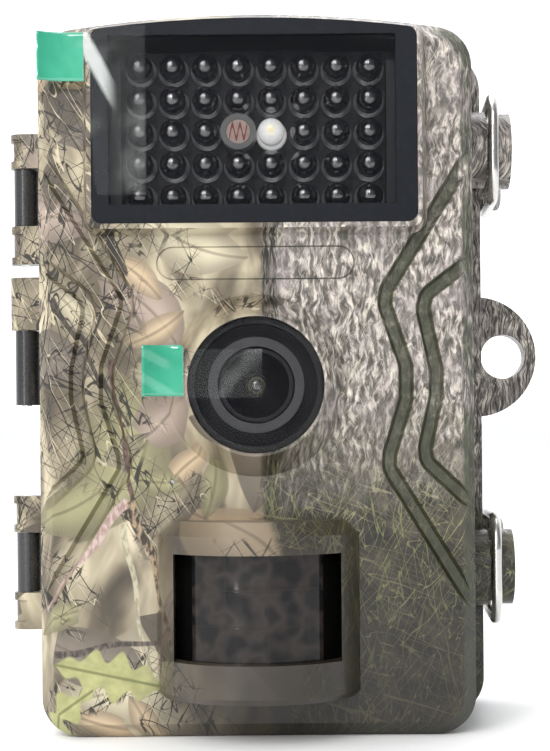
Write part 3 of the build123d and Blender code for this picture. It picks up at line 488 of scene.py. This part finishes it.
def metal(name, dark, light, rough, stretch=(1, 1, 1)):
    """Drawn or turned metal with fine marks along the way it was worked."""
    s = Shader(name, Metallic=1.0)
    p = s.node("VectorMath", {0: s.position(), 1: stretch}, operation="MULTIPLY").outputs[0]
    marks = s.noise(p, 1.4, 4.0, 0.7)
    s.set("Base Color", s.mix(marks, rgb(*dark), rgb(*light)))
    s.set("Roughness", s.math("MULTIPLY_ADD", marks, 0.16, rough - 0.06))
    s.set("Normal", s.bump(marks, 0.15, 0.00005))
    return s.material


def see_through(s, base):
    """Opacity of smoked plastic: base straight on, more at a glancing angle."""
    glance = s.node("LayerWeight", {"Blend": 0.25}).outputs["Fresnel"]
    return s.math("MULTIPLY_ADD", glance, 1.1, base, clamp=True)


def smoked_window():
    """Gloss window with a printed black border round a smoky clear pane."""
    s = Shader("smoked_window", Roughness=0.05, Specular_IOR_Level=0.4)
    x, _, z = s.split(s.position())[:3]
    pane = s.math("MULTIPLY", s.within(x, -27.0, 26.2, 0.12), s.within(z, 99.0, 130.3, 0.12))
    dust = s.noise(s.position(), 0.5, 5.0, 0.7)
    s.set("Base Color", s.mix(dust, rgb(0.004, 0.005, 0.007), rgb(0.012, 0.014, 0.018)))
    s.set("Roughness", s.math("MULTIPLY_ADD", dust, 0.08, 0.0))
    clear = see_through(s, 0.20)
    s.set("Alpha", s.math("MAXIMUM", clear, s.math("SUBTRACT", 1.0, pane)))
    return s.material


def motion_window():
    """Dark film window moulded in small round lens cells, with plain strips at its ends."""
    gloss = {"Specular_IOR_Level": 0.18, "Coat_Weight": 0.10, "Coat_Roughness": 0.03}
    s = Shader("motion_window", Roughness=0.08, **gloss)
    x, y, z = s.split(s.position())[:3]
    round_y = s.math("MULTIPLY", s.math("SUBTRACT", y, PIR_AXIS_Y), -1.0)
    arc = s.math("MULTIPLY", s.math("ARCTAN2", x, round_y), PIR_RADIUS)
    column = s.math("FRACT", s.math("DIVIDE", s.math("ADD", arc, 30.0), PIR_CELL_W))
    cell_u = s.math("SUBTRACT", column, 0.5)
    row = s.math("FRACT", s.math("DIVIDE", s.math("SUBTRACT", z, PIR_SILL_Z), PIR_CELL_H))
    cell_v = s.math("SUBTRACT", row, 0.5)
    local = s.join(s.math("MULTIPLY", cell_u, PIR_CELL_W), s.math("MULTIPLY", cell_v, PIR_CELL_H))
    far = s.node("VectorMath", {0: local}, operation="LENGTH").outputs["Value"]
    rings = s.math("FRACT", s.math("MULTIPLY", s.math("POWER", far, 2.0), 0.35))
    upright_seam = s.step(s.math("ABSOLUTE", cell_u), 0.47, 0.5)
    level_seam = s.step(s.math("ABSOLUTE", cell_v), 0.46, 0.5)
    seam = s.math("MAXIMUM", upright_seam, level_seam)
    strip = s.step(s.math("ABSOLUTE", arc), 13.2, 13.5)
    cloud = s.noise(s.join(arc, z), 0.12, 2.0)
    colour = s.ramp(
        cloud,
        [(0.40, (0.005, 0.005, 0.006)), (0.52, (0.030, 0.024, 0.021)), (0.60, (0.008, 0.008, 0.008))],
    )
    colour = s.mix(s.math("MULTIPLY", seam, 0.5), colour, rgb(0.022, 0.020, 0.019))
    colour = s.mix(strip, colour, rgb(0.003, 0.003, 0.003))
    s.set("Base Color", colour)
    height = s.math("MULTIPLY", s.math("SUBTRACT", rings, seam), s.math("SUBTRACT", 1.0, strip))
    s.set("Normal", s.bump(height, 0.16, 0.00012))
    return s.material


def clear_cover(name, tint, base):
    """Polished clear cover with a faint coating colour."""
    s = Shader(name, Roughness=0.03, Specular_IOR_Level=0.28)
    smear = s.noise(s.position(), 0.25, 4.0)
    s.set("Base Color", s.mix(smear, rgb(*tint), rgb(*(0.4 * c for c in tint))))
    s.set("Roughness", s.math("MULTIPLY_ADD", smear, 0.05, 0.04))
    s.set("Alpha", see_through(s, base))
    return s.material


def lens_black():
    """Black hood whose front ring is a paler grey, with fine turned baffles inside."""
    s = Shader("lens_black", Roughness=0.4)
    x, y, z = s.split(s.position())[:3]
    offset = s.join(x, s.math("SUBTRACT", z, HOOD.z))
    out = s.node("VectorMath", {0: offset}, operation="LENGTH").outputs["Value"]
    ring = s.math("MULTIPLY", s.step(y, -39.5, -39.7), s.within(out, 7.0, 9.0, 0.1))
    cloud = s.noise(s.position(), 0.5, 3.0)
    dark = s.mix(cloud, rgb(0.006, 0.006, 0.007), rgb(0.016, 0.016, 0.018))
    grey = s.mix(cloud, rgb(0.085, 0.085, 0.09), rgb(0.13, 0.13, 0.135))
    s.set("Base Color", s.mix(ring, dark, grey))
    turned = s.math("SINE", s.math("MULTIPLY", out, 9.0))
    s.set("Roughness", s.math("MULTIPLY_ADD", cloud, 0.2, 0.3))
    s.set("Normal", s.bump(turned, 0.12, 0.00005))
    return s.material


def lens_glass():
    """Deep coated glass of the small front element."""
    s = Shader("lens_glass", Roughness=0.02, Coat_Weight=1.0, Coat_Roughness=0.01, Coat_IOR=2.4)
    x, _, z = s.split(s.position())[:3]
    offset = s.join(x, s.math("SUBTRACT", z, HOOD.z))
    out = s.node("VectorMath", {0: offset}, operation="LENGTH").outputs["Value"]
    s.set("Base Color", s.ramp(
        s.math("DIVIDE", out, 2.1),
        [(0.0, (0.01, 0.02, 0.03)), (0.45, (0.05, 0.07, 0.05)),
         (0.7, (0.16, 0.14, 0.09)), (1.0, (0.03, 0.03, 0.03))],
    ))
    s.set("Roughness", s.math("MULTIPLY", s.noise(s.position(), 1.0, 2.0), 0.08))
    return s.material


def lamp_black():
    """Near-black clear resin of an infrared lamp: a polished dome over a faintly paler chip cup."""
    s = Shader("lamp_black", Roughness=0.04, Coat_Weight=1.0, Coat_Roughness=0.03, Coat_IOR=2.6)
    tint = s.noise(s.position(), 0.35, 3.0)
    s.set("Base Color", s.mix(tint, rgb(0.004, 0.004, 0.006), rgb(0.020, 0.018, 0.024)))
    s.set("Roughness", s.math("MULTIPLY_ADD", tint, 0.10, 0.0))
    return s.material


def white_lamp_painted_glow():
    """Clear lamp with a pale reflector cup and a yellow phosphor dot showing through its dome."""
    # Painted light: the emission makes this unlit lamp glow in its own colours, standing in for light
    # caught in its reflector cup.
    s = Shader("white_lamp_painted_glow", Roughness=0.05, Coat_Weight=1.0, Coat_Roughness=0.02, Emission_Strength=0.9)
    x, _, z = s.split(s.position())[:3]
    side = s.math("SUBTRACT", x, LAMP.x)
    rise = s.math("SUBTRACT", z, LAMP.z)
    out = s.node("VectorMath", {0: s.join(side, rise)}, operation="LENGTH").outputs["Value"]
    cup = s.ramp(
        s.math("DIVIDE", out, 2.9),
        [(0.0, (0.95, 0.82, 0.38)), (0.24, (0.98, 0.93, 0.75)), (0.42, (0.90, 0.90, 0.88)),
         (0.80, (0.75, 0.75, 0.74)), (0.95, (0.35, 0.35, 0.35))],
    )
    speck = s.noise(s.position(), 2.0, 3.0)
    colour = s.mix(s.math("MULTIPLY", s.step(speck, 0.5, 0.62), 0.4), cup, rgb(0.60, 0.60, 0.60))
    s.set("Base Color", colour)
    s.set("Emission Color", colour)
    s.set("Roughness", s.math("MULTIPLY_ADD", speck, 0.1, 0.02))
    return s.material


def sensor_face():
    """Light sensor: a pale orange disc with a snaking pinkish track."""
    s = Shader("sensor_face", Roughness=0.35, Coat_Weight=0.6)
    x, _, z = s.split(s.position())[:3]
    a = s.math("SUBTRACT", x, SENSOR.x)
    b = s.math("SUBTRACT", z, SENSOR.z)
    snake = s.math("SUBTRACT", b, s.math("MULTIPLY", s.math("SINE", s.math("MULTIPLY", a, 4.4)), 1.25))
    track = s.math("MULTIPLY", s.step(s.math("ABSOLUTE", snake), 0.75, 0.35), s.within(a, -1.7, 1.7, 0.08))
    body = s.mix(s.noise(s.position(), 1.5, 3.0), rgb(0.62, 0.42, 0.36), rgb(0.80, 0.66, 0.58))
    s.set("Base Color", s.mix(track, body, rgb(0.42, 0.07, 0.045)))
    s.set("Normal", s.bump(track, 0.4, 0.0001))
    return s.material


def circuit(name, mask_colour, bare=1.0):
    """Solder mask with raised tracks and rows of tinned pads; bare is how bright the pads show."""
    s = Shader(name, Roughness=0.35, Coat_Weight=0.4)
    p = s.position()
    x, _, z = s.split(p)[:3]
    plane = s.join(x, z)
    cells = s.node(
        "TexVoronoi", {"Vector": plane, "Scale": 0.35, "Randomness": 0.4}, voronoi_dimensions="2D",
        distance="CHEBYCHEV", feature="F1",
    ).outputs["Distance"]
    tracks = s.within(cells, 0.30, 0.36, 0.015)
    pads = s.step(s.node("TexVoronoi", {"Vector": plane, "Scale": 0.22, "Randomness": 0.3},
                         voronoi_dimensions="2D").outputs["Distance"], 0.13, 0.10)
    base = s.mix(s.noise(p, 0.1, 3.0), rgb(*mask_colour), rgb(*(1.8 * c for c in mask_colour)))
    base = s.mix(s.math("MULTIPLY", tracks, 0.6), base, rgb(*(3.5 * c for c in mask_colour)))
    s.set("Base Color", s.mix(pads, base, rgb(0.62 * bare, 0.62 * bare, 0.60 * bare)))
    s.set("Metallic", pads)
    s.set("Normal", s.bump(s.math("ADD", tracks, pads), 0.5, 0.00006))
    return s.material


def display():
    """Sleeping display: dark panel inside a black glass border."""
    s = Shader("display", Roughness=0.08, Coat_Weight=1.0, Coat_Roughness=0.03)
    x, _, z = s.split(s.position())[:3]
    panel = s.math("MULTIPLY", s.within(x, -18.6, 18.6, 0.05), s.within(z, 86.2, 112.8, 0.05))
    cloud = s.noise(s.position(), 0.06, 2.0)
    lit = s.mix(cloud, rgb(0.030, 0.036, 0.042), rgb(0.060, 0.068, 0.075))
    s.set("Base Color", s.mix(panel, rgb(0.006, 0.006, 0.007), lit))
    s.set("Roughness", s.math("MULTIPLY_ADD", cloud, 0.1, 0.03))
    return s.material


def cell_sleeve():
    """Printed sleeve of a battery cell: dark body, copper-coloured end band, bare metal tips."""
    s = Shader("cell_sleeve", Roughness=0.25, Coat_Weight=0.5)
    z = s.split(s.position())[2]
    scuff = s.noise(s.position(), 0.4, 4.0)
    body = s.mix(scuff, rgb(0.015, 0.015, 0.018), rgb(0.04, 0.04, 0.045))
    band = s.mix(scuff, rgb(0.45, 0.22, 0.09), rgb(0.60, 0.32, 0.15))
    colour = s.mix(s.step(z, 107.0, 107.3), body, band)
    tip = s.math("MAXIMUM", s.step(z, 118.9, 119.0), s.step(z, 70.1, 70.0))
    s.set("Base Color", s.mix(tip, colour, rgb(0.65, 0.65, 0.63)))
    s.set("Metallic", tip)
    s.set("Roughness", s.math("MULTIPLY_ADD", scuff, 0.2, 0.18))
    return s.material


def pull_film(name, tab_left, tab_right):
    """Clear protective film whose pull tab is glossy green."""
    s = Shader(name, Roughness=0.12, Coat_Weight=1.0, Coat_Roughness=0.05)
    x = s.split(s.position())[0]
    tab = s.within(x, tab_left, tab_right, 0.08)
    crinkle = s.noise(s.position(), 0.12, 2.0, 0.4, 0.4)
    green = s.mix(crinkle, rgb(0.012, 0.23, 0.13), rgb(0.06, 0.42, 0.27))
    s.set("Base Color", s.mix(tab, rgb(0.75, 0.78, 0.76), green))
    # Painted glare: a pale diagonal streak of higher opacity on the clear part near the tab stands in for
    # light reflected off the film; the rest is faint haze.
    slant = s.math("MULTIPLY_ADD", s.split(s.position())[2], 0.55, x)
    glare_streak = s.math("MULTIPLY", s.within(slant, 38.3, 41.2, 0.6), s.step(x, -25.0, -28.5))
    haze_and_glare = s.math("MULTIPLY_ADD", s.step(crinkle, 0.5, 0.75), 0.04, 0.012)
    haze_and_glare = s.math("ADD", haze_and_glare, s.math("MULTIPLY", glare_streak, 0.42))
    s.set("Alpha", s.math("MAXIMUM", tab, haze_and_glare))
    s.set("Normal", s.bump(crinkle, 0.4, 0.0008))
    return s.material


# ---------------------------------------------------------------- pull films
def curled_film(name, node, outline, base_y, curl_x, curl_radius, material):
    """A thin rounded sheet in front of base_y whose part beyond curl_x lifts away in a roll towards -X."""
    mesh = bpy.data.meshes.new(name)
    shape = bmesh.new()
    across, up = 36, 14
    rows = []
    for i in range(across + 1):
        part = i / across
        row = []
        for j in range(up + 1):
            x, z = outline(part, j / up)
            past = max(0.0, curl_x - x)
            turn = past / curl_radius
            lift = curl_radius * (1.0 - math.cos(turn))
            run = curl_radius * math.sin(turn)
            flat = max(x, curl_x)
            ripple = 0.10 * math.sin(1.3 * z + 0.7 * x) * min(1.0, past / 2.0)
            row.append(shape.verts.new(((flat - run) * MM, (base_y - lift + ripple) * MM, z * MM)))
        rows.append(row)
    for i in range(across):
        for j in range(up):
            shape.faces.new((rows[i][j], rows[i + 1][j], rows[i + 1][j + 1], rows[i][j + 1]))
    bmesh.ops.recalc_face_normals(shape, faces=shape.faces)
    shape.to_mesh(mesh)
    shape.free()
    for face in mesh.polygons:
        face.use_smooth = True
    film = bpy.data.objects.new(name, mesh)
    bpy.context.scene.collection.objects.link(film)
    skin = film.modifiers.new("thickness", "SOLIDIFY")
    skin.thickness = 0.10 * MM
    skin.offset = 0.0
    mesh.materials.append(material)
    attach(film, "door")
    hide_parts(node)


def window_outline(a, b):
    """The window's film: a tall clear strip on the glass, narrowing to a pull tab above its left edge."""
    x = -40.2 + 20.2 * a
    tab = min(1.0, max(0.0, (-29.4 - x) / 1.2))
    low = 100.8 + (121.8 - 100.8) * tab
    high = 132.0 - 1.2 * tab
    return x, low + (high - low) * b


def lens_outline(a, b):
    """The lens cover's film: a short clear strip on the glass and a square pull tab at its left."""
    x = -21.2 + 22.4 * a
    tab = min(1.0, max(0.0, (-12.6 - x) / 1.0))
    low = 63.1 + 0.4 * tab
    high = 72.1 + 0.8 * tab
    return x, low + (high - low) * b


# ---------------------------------------------------------------- put the materials on the nodes
def paint(material, *names):
    """Give every face of the named nodes one material."""
    for name in names:
        nodes[name].data.materials.clear()
        nodes[name].data.materials.append(material)


def paint_all():
    black = plastic("black_plastic", (0.010, 0.010, 0.011), (0.022, 0.022, 0.023))
    satin = plastic("satin_black", (0.012, 0.012, 0.013), (0.030, 0.030, 0.031), 0.28, 0.4, 0.9)
    grey = plastic("grey_plastic", (0.20, 0.20, 0.20), (0.30, 0.30, 0.29), 0.45)
    rubber = plastic("rubber", (0.018, 0.018, 0.018), (0.035, 0.035, 0.034), 0.62, 0.0, 2.4, 0.4)
    keys = plastic("key_rubber", (0.10, 0.105, 0.105), (0.16, 0.165, 0.165), 0.55, 0.0, 2.2, 0.3)
    lamp = lamp_black()
    steel = metal("steel", (0.50, 0.49, 0.47), (0.72, 0.71, 0.68), 0.20, (1, 0.15, 1))
    brass = metal("brass", (0.52, 0.36, 0.14), (0.74, 0.56, 0.27), 0.28)
    board = circuit("green_board", (0.010, 0.060, 0.030))
    dark_board = circuit("dark_board", (0.005, 0.005, 0.006), 0.05)
    paint(camouflage(), "front_shell", "rear_shell", "latch_lever_upper", "latch_lever_lower")
    paint(smoked_window(), "led_window")
    paint(motion_window(), "pir_window")
    paint(clear_cover("cover_glass", (0.010, 0.010, 0.016), 0.16), "lens_cover")
    paint(lens_black(), "lens_hood", "lens_barrel")
    paint(lens_glass(), "lens_element")
    paint(lamp, "ir_leds")
    paint(white_lamp_painted_glow(), "white_led")
    paint(grey, "sensor_collar")
    paint(black, "led_rails")
    paint(sensor_face(), "light_sensor")
    paint(dark_board, "led_board")
    paint(board, "main_board", "sensor_board", "pir_board")
    paint(display(), "lcd_screen", "image_sensor")
    paint(cell_sleeve(), "aa_cells")
    window_pull = pull_film("window_pull_film", -45.0, -31.4)
    curled_film("window_pull_film", "window_film", window_outline, -40.25, -33.5, 11.0, window_pull)
    lens_pull = pull_film("lens_pull_film", -26.0, -13.3)
    curled_film("lens_pull_film", "lens_film", lens_outline, -42.20, -15.0, 9.0, lens_pull)
    paint(satin, "hinge_barrels", "mode_switch_knob", "dc_jack", "memory_card")
    paint(black, "inner_cover", "battery_tray", "battery_cover")
    paint(black, "lens_holder", "ir_cut_filter", "led_ribbon")
    paint(rubber, "seal_gasket", "port_cover", "key_mat")
    paint(keys, "key_menu", "key_ok", "key_up", "key_down", "key_left", "key_right")
    paint(
        steel, "latch_bail_upper", "latch_bail_lower", "latch_pins", "hinge_pins", "cover_screws",
        "tray_screws", "battery_springs", "battery_contacts", "card_slot", "usb_port", "speaker",
        "microphone", "pir_sensor", "mode_switch_body",
    )
    paint(brass, "tripod_insert", "power_pads", "power_pins")


# ---------------------------------------------------------------- floor
def add_floor():
    """Plain pale floor, part of the stage."""
    mesh = bpy.data.meshes.new("floor")
    shape = bmesh.new()
    bmesh.ops.create_grid(shape, x_segments=16, y_segments=16, size=40.0)
    shape.to_mesh(mesh)
    shape.free()
    floor = bpy.data.objects.new("floor", mesh)
    bpy.context.scene.collection.objects.link(floor)
    s = Shader("floor", Roughness=0.6)
    cloud = s.noise(s.position(), 0.004, 3.0)
    s.set("Base Color", s.mix(cloud, rgb(0.90, 0.90, 0.90), rgb(0.93, 0.93, 0.93)))
    mesh.materials.append(s.material)
    floor.location.z = -0.0002


add_camera()
add_floor()
add_world(1.10, 1.55)
add_light("key", (-0.42, -1.0, 0.85), (0, 0, 0.08), 0.85, 10.5, (1.0, 0.985, 0.965))
add_light("strip", (-0.42, -0.95, 0.25), (0, 0, 0.06), 0.07, 3.0, (1.0, 1.0, 1.0), 18.0)
add_light("sparkle", (-0.10, -1.2, 0.62), (0, 0, 0.11), 0.09, 2.0)
add_light("top", (-0.1, 0.25, 1.0), (0, 0, 0.05), 0.8, 5.0)
paint_all()
